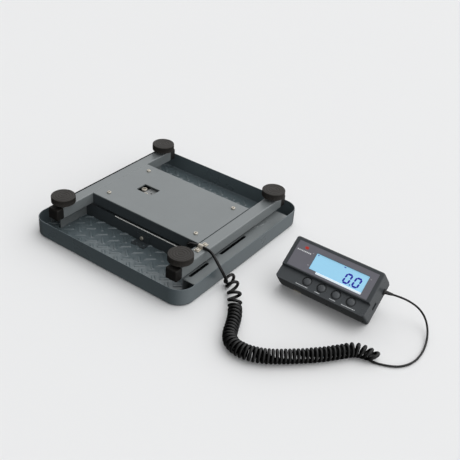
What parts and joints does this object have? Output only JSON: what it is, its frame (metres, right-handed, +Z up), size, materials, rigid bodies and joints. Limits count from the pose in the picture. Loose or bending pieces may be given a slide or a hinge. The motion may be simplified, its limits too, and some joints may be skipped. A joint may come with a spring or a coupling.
{
  "type": "platform shipping scale",
  "caption": "Low platform scale lying on its weighing face, feet up, joined by a coiled lead to a tilted remote display with a lit screen and round keys.",
  "frame": {"origin": "centre of the tray's weighing face, on the surface it lies on", "axes": "+X across the two base tubes towards the display, +Y along the tubes, +Z up, towards the levelling feet"},
  "size_m": [0.6022, 0.343, 0.071],
  "materials": {
    "tray_paint": "semi-matt blue-grey paint on pressed steel with a raised tread pattern",
    "frame_paint": "semi-matt blue-grey paint",
    "zinc": "yellowish zinc plate",
    "dark_steel": "dark oxide",
    "cell_aluminium": "machined",
    "foot_rubber": "matt dark brown rubber",
    "black_rubber": "matt black",
    "cord_jacket": "satin black",
    "housing": "fine-textured dark grey plastic",
    "panel": "satin warm grey faceplate",
    "key": "satin dark grey",
    "lcd": "backlit pale blue",
    "white_plastic": "white",
    "board": "green laminate",
    "battery_label": "printed sleeve"
  },
  "bodies": {
    "platform": {"platform_tray": "tray_paint", "right_platform_channel": "frame_paint", "left_platform_channel": "frame_paint", "centre_platform_channel": "frame_paint", "near_bracket": "frame_paint", "far_bracket": "frame_paint", "bracket_screws": "zinc", "platform_spacer": "cell_aluminium", "load_cell": "cell_aluminium", "platform_bolts": "dark_steel", "overload_stop": "dark_steel", "upper_lead": "cord_jacket", "lead_coil": "cord_jacket", "lower_lead": "cord_jacket"},
    "base": {"right_cross_tube": "frame_paint", "left_cross_tube": "frame_paint", "base_channel": "frame_paint", "cover_plate": "frame_paint", "cover_screws": "zinc", "foot_nuts": "zinc", "base_spacer": "cell_aluminium", "base_bolts": "dark_steel", "grommet": "black_rubber", "cable_clamp": "zinc", "clamp_screws": "zinc", "inner_lead": "cord_jacket", "tube_plug_left_near": "foot_rubber", "tube_plug_right_near": "foot_rubber", "tube_plug_left_far": "foot_rubber", "tube_plug_right_far": "foot_rubber"},
    "foot_stud_body_left_near": {"foot_stud_left_near": "zinc"},
    "foot_pad_body_left_near": {"foot_pad_left_near": "foot_rubber"},
    "foot_stud_body_right_near": {"foot_stud_right_near": "zinc"},
    "foot_pad_body_right_near": {"foot_pad_right_near": "foot_rubber"},
    "foot_stud_body_left_far": {"foot_stud_left_far": "zinc"},
    "foot_pad_body_left_far": {"foot_pad_left_far": "foot_rubber"},
    "foot_stud_body_right_far": {"foot_stud_right_far": "zinc"},
    "foot_pad_body_right_far": {"foot_pad_right_far": "foot_rubber"},
    "display": {"display_front": "housing", "display_back": "housing", "label_panel": "panel", "lcd_glass": "lcd", "backlight_frame": "white_plastic", "circuit_board": "board", "key_switches": "dark_steel", "power_jack": "black_rubber", "lead_gland": "black_rubber", "case_screws": "zinc", "battery": "battery_label", "battery_snap": "black_rubber"},
    "hold_button_body": {"hold_button": "key"},
    "unit_button_body": {"unit_button": "key"},
    "tare_button_body": {"tare_button": "key"},
    "power_button_body": {"power_button": "key"},
    "stand": {"tilt_stand": "housing"},
    "door": {"battery_door": "housing"}
  },
  "joints": [
    {"name": "load_cell_flex", "type": "slide", "parent": "platform", "child": "base", "axis": [0, 0, 1], "range_m": [-0.0005, 0], "stiffness_N_per_m": 100000, "springref_m": 0.0004, "deforming": ["load_cell"]},
    {"name": "foot_rise_left_near", "type": "slide", "parent": "base", "child": "foot_stud_body_left_near", "axis": [0, 0, 1], "range_m": [0, 0.005]},
    {"name": "foot_turn_left_near", "type": "hinge", "parent": "foot_stud_body_left_near", "child": "foot_pad_body_left_near", "pos_m": [-0.1165, -0.1194, 0.056], "axis": [0, 0, 1], "range_deg": [0, 1441]},
    {"name": "foot_rise_right_near", "type": "slide", "parent": "base", "child": "foot_stud_body_right_near", "axis": [0, 0, 1], "range_m": [0, 0.005]},
    {"name": "foot_turn_right_near", "type": "hinge", "parent": "foot_stud_body_right_near", "child": "foot_pad_body_right_near", "pos_m": [0.1165, -0.1194, 0.056], "axis": [0, 0, 1], "range_deg": [0, 1441]},
    {"name": "foot_rise_left_far", "type": "slide", "parent": "base", "child": "foot_stud_body_left_far", "axis": [0, 0, 1], "range_m": [0, 0.005]},
    {"name": "foot_turn_left_far", "type": "hinge", "parent": "foot_stud_body_left_far", "child": "foot_pad_body_left_far", "pos_m": [-0.1165, 0.1194, 0.056], "axis": [0, 0, 1], "range_deg": [0, 1441]},
    {"name": "foot_rise_right_far", "type": "slide", "parent": "base", "child": "foot_stud_body_right_far", "axis": [0, 0, 1], "range_m": [0, 0.005]},
    {"name": "foot_turn_right_far", "type": "hinge", "parent": "foot_stud_body_right_far", "child": "foot_pad_body_right_far", "pos_m": [0.1165, 0.1194, 0.056], "axis": [0, 0, 1], "range_deg": [0, 1441]},
    {"name": "display_lift", "type": "slide", "parent": "platform", "child": "display", "axis": [0, 0, 1], "range_m": [0, 0.06]},
    {"name": "hold_press", "type": "slide", "parent": "display", "child": "hold_button_body", "axis": [0, 0.6018, -0.7986], "range_m": [0, 0.001], "stiffness_N_per_m": 800, "springref_m": -0.0005},
    {"name": "unit_press", "type": "slide", "parent": "display", "child": "unit_button_body", "axis": [0, 0.6018, -0.7986], "range_m": [0, 0.001], "stiffness_N_per_m": 800, "springref_m": -0.0005},
    {"name": "tare_press", "type": "slide", "parent": "display", "child": "tare_button_body", "axis": [0, 0.6018, -0.7986], "range_m": [0, 0.001], "stiffness_N_per_m": 800, "springref_m": -0.0005},
    {"name": "power_press", "type": "slide", "parent": "display", "child": "power_button_body", "axis": [0, 0.6018, -0.7986], "range_m": [0, 0.001], "stiffness_N_per_m": 800, "springref_m": -0.0005},
    {"name": "stand_fold", "type": "hinge", "parent": "display", "child": "stand", "pos_m": [0.2938, 0.03915, 0.03915], "axis": [-1, 0, 0], "range_deg": [0, 56]},
    {"name": "door_pull", "type": "slide", "parent": "display", "child": "door", "axis": [0, 0.6018, -0.7986], "range_m": [0, 0.012]}
  ],
  "couplings": [
    {"joint": "foot_turn_left_near", "follows": "foot_rise_left_near", "rad_per_m": 5026.5},
    {"joint": "foot_turn_right_near", "follows": "foot_rise_right_near", "rad_per_m": 5026.5},
    {"joint": "foot_turn_left_far", "follows": "foot_rise_left_far", "rad_per_m": 5026.5},
    {"joint": "foot_turn_right_far", "follows": "foot_rise_right_far", "rad_per_m": 5026.5}
  ]
}
